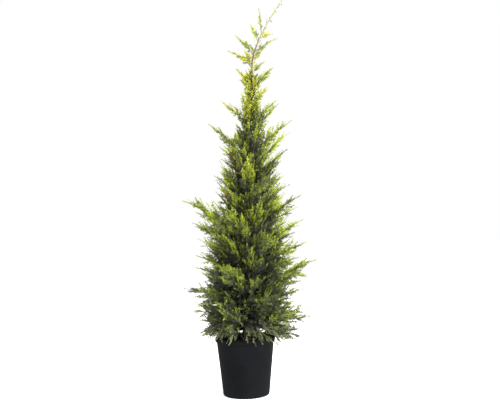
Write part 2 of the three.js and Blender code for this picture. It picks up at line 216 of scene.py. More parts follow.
# Low limbs, bare at first, which arch over the compost and the pot's rim and droop.
FOOT_LIMBS = 42
FOOT_ROOTS = (0.290, 0.345)
FOOT_TIPS = (0.252, 0.312)
FOOT_REACH = (0.090, 0.228)
FOOT_ARCH = 0.26
FOOT_BARE = 0.45
FOOT_TWIG_RADIUS = 0.0015
FOOT_MOOD = 0.06
# Where on their way they are clear of the pot.
FOOT_CLEAR = np.linspace(0.2, 1, 12)
# Plumes with tips below this are bare at first too.
BARE_BELOW = 0.29
# A few more low limbs hang over the front of the rim: where their tips are.
DANGLES = ((-0.066, -0.152, 0.258), (0.013, -0.164, 0.261), (0.048, -0.162, 0.246),
           (0.080, -0.156, 0.250), (0.064, -0.150, 0.272))
# Limbs at the back that close gaps beside the trunk: where their tips are.
BACKING = ((-0.025, 0.120, 0.580), (0.030, 0.130, 0.470))

# ---- sizes: foliage ----

# Feathers: flat branching sprays, on alternate sides of a limb and rolled about it.
FEATHER_STEP = 0.0102
FEATHER_STEP_VARIES = (0.2, 0.8)
# At least so many are on a limb, and so many branchlets on each.
LEAST_NUMBER = 4
# The share of a limb's way where they start, by the limb's length, and where they end.
FEATHER_FIRSTS = ((0.10, 0.26), (0.04, 0.22))
FEATHER_LAST = 0.79
FEATHER_LENGTH = 0.150
FEATHER_LENGTH_SHARE = 0.66
FEATHER_TIP_SHARE = 0.72
FEATHER_LENGTH_VARIES = 0.15
FEATHER_LEAST = 0.011
# Their length as a share of the way to the limb's tip. Plumes that stand out are slimmer higher up.
BODY_TO_TIP = 0.46
PLUME_TO_TIP = ((0.70, 0.90, 1.25), (0.46, 0.40, 0.36))
# Their angles at a limb's root and tip, in degrees.
FEATHER_ANGLES = (40, 26)
FEATHER_ANGLE_VARIES = 12
FEATHER_ROLL = 36
FEATHER_ROLL_VARIES = 75
FEATHER_CURL = 0.30
FEATHER_LIFTS = ((0.30, 0.60, 1.0), (-0.08, 0.20, 0.32))
FEATHER_LIFT_VARIES = 0.22
FEATHER_WIDTH = 0.235
FEATHER_WIDEST = 0.029
# A feather's width: its share at the foot, how fast it opens, and how full it is.
FLAME_FOOT = 0.35
FLAME_OPENS = 4
FLAME_FULL = 1.1
# How drawn out the tips of feathers, of plumes and of the leader's sprays are.
FEATHER_TAPER = 0.75
TERMINAL_TAPER = 1.0
LEADER_TAPER = 1.3
# The feather that ends a limb.
TERMINAL_WIDTH = 0.034
TERMINAL_FIRST = 0.25
# The leader's sprays.
LEADER_WIDTH = 0.030
LEADER_STEP = 0.0036
LEADER_FIRST = 0.12
LEADER_SPIN = 1.1
# Sprigs, scattered up the leader to its tip.
SPRIGS = 30
SPRIG_START = 1.47
SPRIG_LENGTHS = (0.062, 0.022)
SPRIG_LENGTH_POWER = 0.6
SPRIG_LENGTH_VARIES = (0.6, 1.3)
SPRIG_ANGLE = 0.5
SPRIG_WIDTH = 0.010
SPRIG_FIRST = 0.2
SPRIG_STEP = 0.005

# Branchlets: the side shoots of a feather, each with smaller shoots of its own.
BRANCHLET_STEP = 0.0046
BRANCHLET_STEP_VARIES = (0.1, 0.9)
BRANCHLET_FIRST = 0.10
BRANCHLET_LAST = 0.985
BRANCHLET_LEAST = 0.005
BRANCHLET_ANGLES = (43, 24)
BRANCHLET_ANGLE_VARIES = 0.2
BRANCHLET_ROLL_VARIES = 0.5
BRANCHLET_LENGTH_VARIES = 0.32
BRANCHLET_LENGTH_SHARES = (0.5, 1.6)
BRANCHLET_CURL = 0.2
BRANCHLET_HALF_WIDTH = 0.0016
# Where the blade at a feather's tip starts, is widest and ends.
END_BLADE = (0.8, 0.88, 1)
SHOOT_STEP = 0.0024
SHOOT_STEP_VARIES = (0.35, 0.85)
SHOOT_LENGTH = 0.0130
SHOOT_LENGTH_SHARE = 0.50
SHOOT_LENGTH_VARIES = (0.75, 1.25)
SHOOT_TIP_SHARE = 0.6
SHOOT_LEAST = 0.004
SHOOT_ANGLE = 33
SHOOT_ANGLE_VARIES = 0.15
SHOOT_TILT_VARIES = 0.5
SHOOT_HALF_WIDTH = 0.00145
SHOOT_WIDEST = 0.45
SHOOT_CURL = 0.2
MOST_SHOOTS = 14
BLADE_THICKNESS = 0.6
# A blade's corners are its root, its two sides and its tip.
BLADE_FACES = np.array([(0, 1, 3), (0, 3, 2)])
# Deep in the crown, by where a feather is at a share of its way, shoots are fewer and larger.
DEEP_COARSER = ((0.30, 0.62), (2.1, 1.0))
DEPTH_SHARE = 0.7
OUT_MARGIN = 0.02

# Foliage keeps out of the pot and inside the part's box.
POT_KEEP_OUT = 0.004
BOX_MARGIN = 0.006
# A joined piece has about this many triangles at most.
MOST_TRIANGLES = 150_000

# ---- looks: foliage ----

# Foliage tints, dealt out by spray: colour, roughness and, for the darkest, specular level.
TINTS = {
    # The darkest, deep and shade, go mostly to sprays further in: partly their own darker green,
    # partly painted shade.
    "deep": (0x454941, 0.80, 0.02),
    "shade": (0x4b523d, 0.75, 0.02),
    "dark": (0x586137, 0.70, 0.02),
    "moss": (0x6a7534, 0.68),
    "mid": (0x7d8a35, 0.66),
    "fresh": (0x8a9833, 0.64),
    "lime": (0x98a435, 0.62),
    "gold": (0xa4aa38, 0.62),
    "olive": (0x86882a, 0.66),
    "straw": (0x999c2e, 0.64),
    "yellow": (0xa9aa33, 0.62),
    "bronze": (0x6e622e, 0.68),
    "amber": (0x877d34, 0.66),
    "grey": (0x6d7158, 0.70),
}
TWIGS = {"brown": 0x3d3320, "green": 0x5f6a2c, "grey": 0x8b8377}
TWIG_ROUGHNESS = 0.8
TWIG_SPECULAR = 0.15
# The greens from dark to bright, and the scores that part them.
GREENS = ("deep", "shade", "dark", "moss", "mid", "fresh", "lime", "gold")
GREEN_STEPS = (0.14, 0.29, 0.43, 0.55, 0.67, 0.79, 0.91)
# What being out in the crown, along the feather, up the tree and lifted adds to the score.
# Sprays further in score lower, partly for their own darker green and partly as painted shade of
# the crown's inside.
OUT_WEIGHT = 0.52
OUT_POWER = 1.6
ALONG_WEIGHT = 0.28
UP_WEIGHT = 0.34
# Being lifted is painted light on branchlets that point up and painted shade on those that point
# down.
LIFT_PAINTED_LIGHT_WEIGHT = 0.20
SCORE_DROP = 0.20
SCORE_VARIES = 0.17
# The crown's narrow top is bright right to the trunk.
TOP_BRIGHT = ((1.16, 1.35, 1.52), (0.0, 0.80, 1.0))
# Elsewhere it is brightest a little inside its tips.
OUT_BRIGHT = ((0.0, 0.86, 1.02, 1.22), (0.0, 0.95, 0.90, 0.70))
# It is darker low down and a little under its top, and brighter at its top.
HEIGHT_BRIGHT = ((0.30, 0.80, 1.06, 1.30, 1.45), (-0.14, -0.02, -0.05, 0.0, 0.06))
# Dark sprays at the crown's outside are not as dark as those within: the least green.
LEAST_GREENS = ((0.65, 1.0), (0, 2))
# Up the crown's top the greens give way to yellower ones.
YELLOWER = {"moss": "olive", "mid": "olive", "fresh": "straw", "lime": "yellow", "gold": "yellow"}
YELLOW_SHARES = ((0.80, 1.10, 1.50), (0.0, 0.08, 0.62))
# Moods brighten or darken whole limbs and feathers.
LIMB_MOODS = (-0.035, 0.13)
FEATHER_MOOD_VARIES = 0.15
TERMINAL_MOOD_VARIES = 0.12
LEADER_MOOD = -0.22
SPRIG_MOOD = -0.26
# The sprays round a few places on the front are partly bronze: across and up.
BRONZE_PLACES = ((-0.040, 1.115), (0.041, 1.140), (-0.064, 0.921), (-0.027, 1.050),
                 (-0.195, 0.480), (0.010, 1.331))
BRONZE_RADIUS = 0.035
BRONZE_READ_AT = 0.6
# The tints that a turned spray has at its foot and its end, and which branchlets turn.
BRONZED = ("bronze", "amber")
GREYED = ("grey", "grey")
GREY_FEATHERS = 0.3
TURNED_SHARE = 0.6
TURNED_ABOVE = 0.25
TURNED_FOOT = 0.5

# ---- looks: stage ----

FLOOR_HALF = 30.0
# Soft lights: where each stands, where it points, its size and its power.
LIGHTS = {
    "key": ((2.5, -2.4, 3.6), (0, 0, 0.9), 0.9, 420),
    "side": ((2.9, -1.5, 1.1), (0, 0, 0.5), 1.0, 75),
    "top": ((-0.6, -0.4, 4.2), (0, 0, 0.9), 2.4, 120),
    "fill": ((-3.2, -2.4, 1.6), (0, 0, 0.9), 2.2, 60),
}
CAMERA_PLACE = (0.0387, -3.2, 0.749)
CAMERA_PITCH = 2.75
CAMERA_ROLL = 1.46

BLACK = 0x000000
# A mix node's sockets for its share and its colours.
MIX_INPUTS = (0, 6, 7)
MIX_OUTPUT = 2


def rgba(code):
    """An sRGB colour code as linear red, green, blue and full alpha."""
    parts = [((code >> shift) & 255) / 255 for shift in (16, 8, 0)]
    return *(c / 12.92 if c <= 0.04045 else ((c + 0.055) / 1.055) ** 2.4 for c in parts), 1


def lerp(a, b, share):
    return a + (b - a) * share


def unit(vectors):
    return vectors / np.linalg.norm(vectors, axis=-1, keepdims=True)


def square(vectors, ways):
    """The directions nearest to vectors at right angles to ways."""
    return unit(vectors - np.sum(vectors * ways, axis=-1, keepdims=True) * ways)


def around(number):
    return 2 * math.pi * np.arange(number) / number


def bearing(turn, up=0.0):
    return np.array([math.cos(turn), math.sin(turn), up])


def curve(root, bend, tip, share):
    """Points on a curve from a root, past a bend, to a tip."""
    return (1 - share) ** 2 * root + 2 * share * (1 - share) * bend + share ** 2 * tip


def curve_way(root, bend, tip, share):
    """The directions of that curve."""
    return unit((1 - share) * (bend - root) + share * (tip - bend))


# ---- materials ----


class Nodes:
    """The node tree of a material or world, its inputs given values or linked to outputs."""

    def __init__(self, owner):
        owner.use_nodes = True
        self.owner, self.tree = owner, owner.node_tree

    def fill(self, node, inputs):
        for key, value in inputs.items():
            socket = node.inputs[key.replace("_", " ")]
            if isinstance(value, bpy.types.NodeSocket):
                self.tree.links.new(value, socket)
            else:
                socket.default_value = value

    def shade(self, shader="Principled BSDF", **inputs):
        """The material or world, with inputs of its shader filled."""
        self.fill(self.tree.nodes[shader], inputs)
        return self.owner

    def add(self, kind, output, **inputs):
        """An output of a new node."""
        node = self.tree.nodes.new("ShaderNode" + kind)
        self.fill(node, inputs)
        return node.outputs[output]

    def place(self, stretch=(1, 1, 1)):
        """Places on the object itself, stretched by a scale for each axis."""
        return self.add("Mapping", "Vector", Vector=self.add("TexCoord", "Object"), Scale=stretch)

    def noise(self, fineness, detail=4.0, stretch=(1, 1, 1)):
        place = self.place(stretch)
        return self.add("TexNoise", "Fac", Vector=place, Scale=fineness, Detail=detail)

    def ramp(self, source, *stops):
        """A colour ramp from pairs of place and colour code."""
        node = self.tree.nodes.new("ShaderNodeValToRGB")
        self.tree.links.new(source, node.inputs["Fac"])
        elements = node.color_ramp.elements
        while len(elements) < len(stops):
            elements.new(0.5)
        for element, (place, code) in zip(elements, stops):
            element.position = place
            element.color = rgba(code)
        return node.outputs["Color"]

    def mix(self, *sources):
        """A share of the way from one colour to another."""
        node = self.tree.nodes.new("ShaderNodeMix")
        node.data_type = "RGBA"
        for source, socket in zip(sources, MIX_INPUTS):
            self.tree.links.new(source, node.inputs[socket])
        return node.outputs[MIX_OUTPUT]

    def spread(self, source, low, high):
        """A source from 0 to 1 as a number from low to high."""
        return self.add("MapRange", "Result", Value=source, To_Min=low, To_Max=high)

    def height(self, low, high):
        """The share of the way from one height to another."""
        height = self.add("SeparateXYZ", "Z", Vector=self.place())
        return self.add("MapRange", "Result", Value=height, From_Min=low, From_Max=high)

    def bump(self, source, strength, distance):
        return self.add("Bump", "Normal", Height=source, Strength=strength, Distance=distance)


def new_nodes(name):
    return Nodes(bpy.data.materials.new(name))


def plain_material(name, code, roughness, specular=0.03):
    return new_nodes(name).shade(Base_Color=rgba(code), Roughness=roughness,
                                 Specular_IOR_Level=specular)


def plastic_material():
    """Black moulded plastic, dulled by handling and dusty at its foot."""
    nodes = new_nodes("moulded_plastic")
    cloud = nodes.noise(9.0)
    scuffs = nodes.noise(3.0, detail=6.0, stretch=(6, 6, 70))
    grain = nodes.noise(900.0, detail=2.0)
    clean = nodes.ramp(cloud, (0.30, 0x0a0b0d), (0.70, 0x0f1012))
    worn = nodes.ramp(cloud, (0.30, 0x131517), (0.70, 0x181a1d))
    marks = nodes.ramp(scuffs, (0.58, BLACK), (0.72, 0x9a9a9a))
    scuffed = nodes.mix(marks, clean, worn)
    dust = nodes.ramp(cloud, (0.30, 0x191816), (0.75, 0x201f1b))
    foot = nodes.ramp(nodes.height(0.0, 0.05), (0.0, 0x808080), (1.0, BLACK))
    return nodes.shade(Base_Color=nodes.mix(foot, scuffed, dust),
                       Roughness=nodes.spread(scuffs, 0.62, 0.80), Specular_IOR_Level=0.03,
                       Normal=nodes.bump(grain, strength=0.10, distance=0.0004))


def compost_material():
    """Dark moist compost with paler fibres, made darker still as painted shade in the pot."""
    nodes = new_nodes("compost")
    clods = nodes.noise(60.0, detail=8.0)
    fibres = nodes.noise(140.0, detail=6.0, stretch=(1, 4, 1))
    # Its browns are darker than the compost's own, as painted shade of the pot's mouth.
    earth = nodes.ramp(clods, (0.30, 0x0f0b08), (0.52, 0x1e1610), (0.75, 0x312419))
    fibre = nodes.ramp(fibres, (0.35, 0x251b12), (0.70, 0x4b3a29))
    share = nodes.ramp(fibres, (0.60, BLACK), (0.72, 0xb0b0b0))
    return nodes.shade(Base_Color=nodes.mix(share, earth, fibre),
                       Roughness=nodes.spread(clods, 0.80, 1.0), Specular_IOR_Level=0.12,
                       Normal=nodes.bump(clods, strength=0.6, distance=0.004))


def bark_material():
    """Stringy brown bark with dull patches, dark low down and grey towards the leader's tip."""
    nodes = new_nodes("bark")
    strings = nodes.noise(260.0, detail=6.0, stretch=(1, 1, 0.09))
    patches = nodes.noise(40.0, stretch=(1, 1, 0.4))
    old = nodes.ramp(strings, (0.28, 0x140e0a), (0.50, 0x2c2017), (0.75, 0x493a2c))
    young = nodes.ramp(strings, (0.28, 0x1e150e), (0.50, 0x37281b), (0.75, 0x53402c))
    fresh = nodes.ramp(strings, (0.28, 0x382710), (0.50, 0x574018), (0.75, 0x785c2e))
    shoot = nodes.ramp(strings, (0.28, 0x5a4f46), (0.75, 0x8b8277))
    lower = nodes.mix(nodes.height(0.55, 1.35), old, young)
    upper = nodes.mix(nodes.height(1.42, 1.52), lower, fresh)
    body = nodes.mix(nodes.height(1.60, 1.72), upper, shoot)
    stain = nodes.ramp(patches, (0.50, BLACK), (0.80, 0x707070))
    dull = nodes.ramp(strings, (0.25, 0x2a2018), (0.75, 0x6a5c4c))
    return nodes.shade(Base_Color=nodes.mix(stain, body, dull),
                       Roughness=nodes.spread(strings, 0.72, 0.95), Specular_IOR_Level=0.20,
                       Normal=nodes.bump(strings, strength=0.5, distance=0.0012))


def floor_material():
    """Pale paper that glows a little."""
    nodes = new_nodes("pale_floor")
    paper = nodes.ramp(nodes.noise(3.0), (0.3, 0xf4f4f3), (0.7, 0xf9f9f8))
    return nodes.shade(Base_Color=paper, Roughness=0.9, Specular_IOR_Level=0.1,
                       Emission_Color=WHITE, Emission_Strength=0.25)


# ---- mesh helpers ----


def placed(name, data):
    thing = bpy.data.objects.new(name, data)
    bpy.context.scene.collection.objects.link(thing)
    return thing


def new_object(name, vertices, faces, material, smooth=False):
    """An object from points and arrays of faces, each array with one number of corners."""
    mesh = bpy.data.meshes.new(name)
    mesh.vertices.add(len(vertices))
    mesh.vertices.foreach_set("co", np.asarray(vertices, np.float32).ravel())
    corners = np.concatenate([block.ravel() for block in faces]).astype(np.int32)
    sizes = np.concatenate([np.full(len(block), block.shape[1]) for block in faces])
    starts = np.concatenate([[0], np.cumsum(sizes)[:-1]]).astype(np.int32)
    mesh.loops.add(len(corners))
    mesh.loops.foreach_set("vertex_index", corners)
    mesh.polygons.add(len(sizes))
    mesh.polygons.foreach_set("loop_start", starts)
    mesh.polygons.foreach_set("use_smooth", np.full(len(sizes), smooth))
    mesh.update(calc_edges=True)
    mesh.materials.append(material)
    return placed(name, mesh)


def make_piece(name, vertices, faces, material, slot, nodes, smooth=False):
    piece = new_object(name, vertices, faces, material, smooth)
    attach(piece, BODY)
    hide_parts(*nodes)


class Heap:
    """Points and faces of many small bodies, gathered to be joined."""

    def __init__(self, bodies=()):
        self.bodies = list(bodies)

    def add(self, points, *faces):
        self.bodies.append((points, faces))

    def mesh(self):
        """All the points, and an array of the faces for each number of corners."""
        points = [own for own, _ in self.bodies]
        starts = np.cumsum([0] + [len(own) for own in points])
        joined = {}
        for (_, faces), start in zip(self.bodies, starts):
            for block in faces:
                joined.setdefault(block.shape[1], []).append(block + start)
        return np.concatenate(points), [np.concatenate(blocks) for blocks in joined.values()]

    def shares(self, most):
        """The bodies as heaps with about a number of triangles at most."""
        triangles = [sum(len(block) * (block.shape[1] - 2) for block in faces)
                     for _, faces in self.bodies]
        which = np.cumsum(triangles) // most
        return [Heap(body for body, own in zip(self.bodies, which) if own == share)
                for share in np.unique(which)]


def ring_faces(sides, rings):
    """Quads between rings of points, and triangles to points below the first and above the last."""
    side = np.arange(sides)
    after = (side + 1) % sides
    band = np.stack([side, after, after + sides, side + sides], 1)
    quads = [band + sides * ring for ring in range(rings - 1)]
    foot = sides * rings
    last = sides * (rings - 1)
    low = np.stack([after, side, np.full(sides, foot)], 1)
    high = np.stack([side + last, after + last, np.full(sides, foot + 1)], 1)
    return np.concatenate(quads), np.concatenate([low, high])


def lathe(profile, ends, sides):
    """A closed solid of revolution from points of radius and height: points and faces."""
    turn = around(sides)
    rings = np.stack([np.outer(profile[:, 0], np.cos(turn)), np.outer(profile[:, 0], np.sin(turn)),
                      np.repeat(profile[:, 1:], sides, 1)], -1)
    poles = [(0, 0, ends[0]), (0, 0, ends[1])]
    return np.concatenate([rings.reshape(-1, 3), poles]), ring_faces(sides, len(profile))


def tube(heap, middle, level, radii, sides, relief=None):
    """A closed tapering limb along points of its middle line."""
    tangent = unit(np.gradient(middle, axis=0))
    across = square(level, tangent)
    under = np.cross(tangent, across)
    turn = around(sides)
    ways = across[:, None] * np.cos(turn)[:, None] + under[:, None] * np.sin(turn)[:, None]
    width = np.repeat(radii[:, None], sides, 1)
    if relief is not None:
        width = width * (1 + relief(turn, middle))
    points = (middle[:, None] + width[..., None] * ways).reshape(-1, 3)
    heap.add(np.concatenate([points, middle[[0, -1]]]), *ring_faces(sides, len(middle)))


def bark_noise(angle, height, often_round, often_along, start):
    return noise.noise(Vector((often_round * math.cos(angle), often_round * math.sin(angle),
                               often_along * height + start)))


def bark_relief(turn, middle):
    """Shallow strings and furrows that run along a limb, as shares of its radius."""
    rows = [[bark_noise(angle, point[2], *BARK_STRINGS)
             + FURROW_DEPTH * bark_noise(angle, point[2], *BARK_FURROWS) for angle in turn]
            for point in middle]
    return BARK_RELIEF * np.array(rows)


# ---- pot and compost ----


def pot_inside(height):
    share = (height - POT_FOOT_ROUND) / (POT_HEIGHT - POT_LIP_DROP - POT_FOOT_ROUND)
    return lerp(POT_BASE_RADIUS, POT_BODY_TOP_RADIUS, share) - POT_WALL


def arc(centre, radius, start, end):
    """Points of radius and height on an arc, its angles in degrees."""
    turn = np.radians(np.linspace(start, end, ARC_STEPS))
    return [(centre[0] + radius * math.cos(a), centre[1] + radius * math.sin(a)) for a in turn]


def wall(first, second):
    """Points up or down the pot's wall, without the first."""
    return np.linspace(first, second, POT_RINGS)[1:].tolist()


def pot_profile():
    """The pot's section from its underside, over its lip, to its floor, and its ends' heights."""
    lip_foot = POT_HEIGHT - POT_LIP_DROP
    inner = pot_inside(POT_HEIGHT)
    foot = arc((POT_BASE_RADIUS - POT_FOOT_ROUND, POT_FOOT_ROUND), POT_FOOT_ROUND, -90, 0)
    neck = (POT_BODY_TOP_RADIUS, lip_foot - POT_LIP_FILLET)
    edge = POT_LIP_FILLET / 2
    skirt = arc((POT_RIM_RADIUS - POT_LIP_SLOPE - edge, lip_foot + edge), edge, -90, 0)
    crest = arc((POT_RIM_RADIUS - POT_LIP_ROUND, POT_HEIGHT - POT_LIP_ROUND), POT_LIP_ROUND, 0, 90)
    edge = POT_LIP_ROUND / 2
    mouth = arc((inner + edge, POT_HEIGHT - edge), edge, 90, 180)
    low = POT_FLOOR + POT_FOOT_ROUND
    points = [(POT_BASE_RADIUS / 3, 0), (POT_BASE_RADIUS / 1.5, 0), *foot, *wall(foot[-1], neck),
              (POT_BODY_TOP_RADIUS + POT_LIP_FILLET / 4, lip_foot), *skirt, *crest, *mouth,
              *wall(mouth[-1], (pot_inside(low), low)),
              (pot_inside(POT_FLOOR) - POT_FOOT_ROUND, POT_FLOOR), (POT_BASE_RADIUS / 3, POT_FLOOR)]
    return np.array(points), (0.0, POT_FLOOR)


def make_pot():
    points, faces = lathe(*pot_profile(), POT_SIDES)
    material = plastic_material()
    pot = new_object("pot_shell", points, faces, material, smooth=True)
    low, high = -POT_FLOOR, 2 * POT_FLOOR
    drill, faces = lathe(np.array([(DRAIN_RADIUS, low), (DRAIN_RADIUS, high)]), (low, high),
                         DRAIN_SIDES)
    holes = Heap()
    for turn in around(DRAIN_HOLES):
        holes.add(drill + DRAIN_CIRCLE * bearing(turn), *faces)
    cutter = new_object("drain_holes", *holes.mesh(), material)
    cut = pot.modifiers.new("drains", "BOOLEAN")
    cut.object = cutter
    cut.solver = "EXACT"
    bpy.context.view_layer.update()
    evaluated = pot.evaluated_get(bpy.context.evaluated_depsgraph_get())
    shell = bpy.data.meshes.new_from_object(evaluated)
    pot.modifiers.clear()
    pot.data = shell
    bpy.data.objects.remove(cutter)
    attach(pot, BODY)
    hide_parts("pot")


def soil_height(x, y):
    """The compost's top: crumbly, a little higher round the trunk."""
    lumps = sum(share * noise.noise(Vector((often * x, often * y, start)))
                for often, start, share in SOIL_LUMPS)
    mound = max(0, 1 - math.hypot(x, y) / SOIL_MOUND_RADIUS) ** 2
    return SOIL_TOP + SOIL_RELIEF * (lumps + SOIL_MOUND * mound - SOIL_SINK)


def make_compost(rng):
    foot = POT_FLOOR + SOIL_CLEARANCE
    shoulder = foot + POT_FOOT_ROUND
    edge = pot_inside(SOIL_TOP) - SOIL_CLEARANCE
    profile = [(pot_inside(POT_FLOOR) - POT_FOOT_ROUND - SOIL_CLEARANCE, foot),
               (pot_inside(shoulder) - 2 * SOIL_CLEARANCE, shoulder)]
    shares = np.linspace(1, 0, SOIL_RINGS, endpoint=False)
    profile += [(edge * math.sqrt(share), SOIL_TOP) for share in shares]
    points, faces = lathe(np.array(profile), (foot, SOIL_TOP), SOIL_SIDES)
    for point in points:
        if point[2] == SOIL_TOP:
            point[2] = soil_height(*point[:2])
    heap = Heap()
    heap.add(points, *faces)
    for _ in range(CRUMBS):
        away = edge * CRUMB_SPREAD * math.sqrt(rng.random())
        place = away * bearing(2 * math.pi * rng.random())
        place[2] = soil_height(*place[:2])
        crumb(heap, rng, place, lerp(*CRUMB_SIZES, rng.random() ** CRUMB_SIZE_POWER))
    make_piece("compost_top", *heap.mesh(), compost_material(), "compost", ["soil"])


def crumb(heap, rng, place, size):
    """A rough lump, wider than it is tall."""
    rise = np.radians(CRUMB_RISES)
    ways, faces = lathe(np.stack([np.cos(rise), np.sin(rise)], 1), (-1, 1), CRUMB_SIDES)
    stretch = np.array([1, lerp(*CRUMB_WIDTHS, rng.random()), lerp(*CRUMB_HEIGHTS, rng.random())])
    lumpy = ways * stretch * size / 2 * rng.uniform(*CRUMB_LUMPS, (len(ways), 1))
    spin = np.array(Matrix.Rotation(2 * math.pi * rng.random(), 3, "Z"))
    heap.add(lumpy @ spin.T + place, *faces)


# ---- trunk and limbs ----


def trunk_at(height):
    """The trunk's middle at one height or at several."""
    height = np.asarray(height, float)
    up = height - SOIL_TOP
    nod = np.maximum(0, (height - TRUNK_NOD_START) / (TRUNK_TIP - TRUNK_NOD_START))
    sway = TRUNK_SWAY * np.sin(2 * math.pi * up / (TRUNK_TIP - SOIL_TOP))
    return np.stack([TRUNK_LEAN * up + TRUNK_NOD * nod ** TRUNK_NOD_POWER, sway, height], -1)


def trunk_radius(height):
    share = np.clip((height - SOIL_TOP) / (TRUNK_TIP - SOIL_TOP), 0, 1)
    flare = FLARE_EXTRA * np.maximum(0, 1 - (height - SOIL_TOP) / FLARE_HEIGHT) ** 2
    return lerp(TRUNK_TIP_RADIUS, TRUNK_RADIUS, 1 - share) + flare


class Axis:
    """A curve from a root, past a bend, to a tip."""

    def __init__(self, root, bend, tip):
        self.ends, self.tip = (root, bend, tip), tip
        points = self.at(np.linspace(0, 1, LENGTH_STEPS))
        self.length = float(np.sum(np.linalg.norm(np.diff(points, axis=0), axis=1)))

    def at(self, share):
        return curve(*self.ends, np.atleast_1d(share)[:, None])

    def tangent(self, share):
        return curve_way(*self.ends, np.atleast_1d(share)[:, None])

    def end(self, share):
        """The part of the curve from a share of its way to its tip."""
        return Axis(self.at(share)[0], lerp(self.ends[1], self.tip, share), self.tip)


class Limb(Axis):
    """A limb from the trunk's middle, over an arch, to its tip, and how its foliage grows."""

    def __init__(self, root, tip, thick, arch=ARCH, floor=0.0, bare=0.0, mood=0.0, stands_out=True):
        bend = lerp(root, tip, 0.5)
        bend[2] += arch * np.linalg.norm(tip - root)
        super().__init__(root, bend, tip)
        self.level = unit(np.array([root[1] - tip[1], tip[0] - root[0], 0.0]))
        self.thick, self.floor, self.bare = thick, floor, bare
        self.mood, self.stands_out = mood, stands_out

    def spun(self, turn):
        """Its level direction, turned towards upright."""
        return self.level * math.cos(turn) + UP * math.sin(turn)


def rising_limb(height, first, tip, **growth):
    """A limb to a tip at about a height, from a root lower on the trunk."""
    trunk = trunk_at(height)
    away = math.hypot(tip[0] - trunk[0], tip[1] - trunk[1])
    share = (height - first) / (TRUNK_TIP - first)
    rise = math.radians(RISE_TOP * share ** RISE_POWER)
    root = trunk_at(height - away * math.tan(rise))
    thick = BOUGH_RADIUS if height < BOUGH_TIPS_BELOW else STEM_RADIUS
    return Limb(root, tip, thick, **growth)


def side_limbs(side):
    """The plumes of one side."""
    outward, first, step, reach = SIDES[side]
    outward = np.array(outward, float)
    across = np.array([-outward[1], outward[0], 0])
    limbs = []
    for i, far in enumerate(reach):
        height, plume = first + step * i, (side, i + 1)
        spread = TIP_SPREAD * max(far, STEM_RADIUS) * (1 if i % 2 else -1)
        tip = np.array([0, 0, height]) + outward * (far + SPRAY_EXTRA[side])
        tip += across * (spread + across @ trunk_at(height))
        tip[2] -= DROOPS.get(plume, 0)
        limbs.append(rising_limb(height, first, tip, arch=ARCHES.get(plume, ARCH),
                                 bare=FOOT_BARE if height < BARE_BELOW else 0.0,
                                 mood=PLUME_MOODS.get(plume, 0.0)))
    return limbs


def leader_limb(start, rise, turn, length):
    rise, turn = math.radians(rise), math.radians(turn)
    root = trunk_at(start)
    way = math.cos(rise) * bearing(turn) + math.sin(rise) * UP
    return Limb(root, root + length * way, STEM_RADIUS / 2)


def crown_radius(height):
    return np.interp(height, *CROWN)


def lesser_limbs(rng, number, reach, between=LESSER_HEIGHTS):
    """Limbs that fill the crown between the plumes, evenly over its surface."""
    heights = np.linspace(*between, LESSER_HEIGHT_STEPS)
    filled = np.cumsum(crown_radius(heights) + CROWN_TOP_EXTRA)
    limbs = []
    for i in range(number):
        height = float(np.interp((i + 0.5) / number * filled[-1], filled, heights))
        turn = GOLDEN_ANGLE * i + rng.normal(0, LESSER_TURN_VARIES)
        far = crown_radius(height) * lerp(*reach, rng.random() ** LESSER_REACH_POWER)
        lift = rng.normal(0, TIP_LIFT_VARIES)
        tip = trunk_at(height) + max(far, LEAST_REACH) * bearing(turn, lift)
        limbs.append(rising_limb(height, CROWN_FOOT, tip, arch=lerp(*LESSER_ARCH, rng.random()),
                                 floor=SKIRT, stands_out=False))
    return limbs


def foot_limbs(rng):
    """Limbs from the trunk's foot that arch over the rim without touching it."""
    tips = list(DANGLES)
    for i in range(FOOT_LIMBS):
        far = lerp(*FOOT_REACH, math.sqrt(rng.random()))
        tips.append(far * bearing(GOLDEN_ANGLE * i) + lerp(*FOOT_TIPS, rng.random()) * UP)
    limbs = []
    for tip in tips:
        root = trunk_at(lerp(*FOOT_ROOTS, rng.random()))
        limb = Limb(root, np.array(tip), STEM_RADIUS, arch=FOOT_ARCH, bare=FOOT_BARE)
        if np.all(is_free(limb.at(FOOT_CLEAR))):
            limbs.append(limb)
    return limbs


def placed_limbs():
    """The slighter plumes at the left and right, and the limbs that close gaps."""
    tips = [(far, 0.0, height) for far, height in EDGE_PLUMES] + list(BACKING)
    return [rising_limb(tip[2], CROWN_FOOT, np.array(tip)) for tip in tips]


def make_trunk(limbs):
    """The trunk and the limbs, with the bark's relief."""
    bark = bark_material()
    share = np.linspace(0, 1, TRUNK_STEPS) ** TRUNK_STEP_POWER
    heights = lerp(SOIL_TOP - TRUNK_SUNK, TRUNK_TIP, share)
    heap = Heap()
    tube(heap, trunk_at(heights), BACKWARD, trunk_radius(heights), TRUNK_SIDES, bark_relief)
    make_piece("trunk_bark", *heap.mesh(), bark, "bark", ["trunk"], smooth=True)
    heap = Heap()
    share = np.linspace(0, 1, LIMB_STEPS)
    for limb in limbs:
        radii = lerp(limb.thick, GREEN_END_RADIUS, share ** LIMB_TAPER_POWER)
        tube(heap, limb.at(share * BARK_END), limb.level, radii, LIMB_SIDES, bark_relief)
    make_piece("bough_bark", *heap.mesh(), bark, "bark", BOUGH_NODES, smooth=True)


# ---- foliage ----


def blades(heap, root, middle, tip, across, half_width):
    """Shoots folded along their middle lines, each widest at its middle point."""
    along = unit(tip - root)
    wide = square(across, along) * half_width
    keel = BLADE_THICKNESS * np.cross(along, wide)
    points = np.stack([root, middle + wide + keel, middle - wide + keel, tip], 1)
    faces = BLADE_FACES[None] + points.shape[1] * np.arange(len(points))[:, None, None]
    heap.add(points.reshape(-1, 3), faces.reshape(-1, 3))


def flame(share, taper):
    """The width of a feather along its length: full near its foot, drawn out to a point."""
    return np.minimum(1, FLAME_FOOT + FLAME_OPENS * share) * (1 - share) ** taper * FLAME_FULL


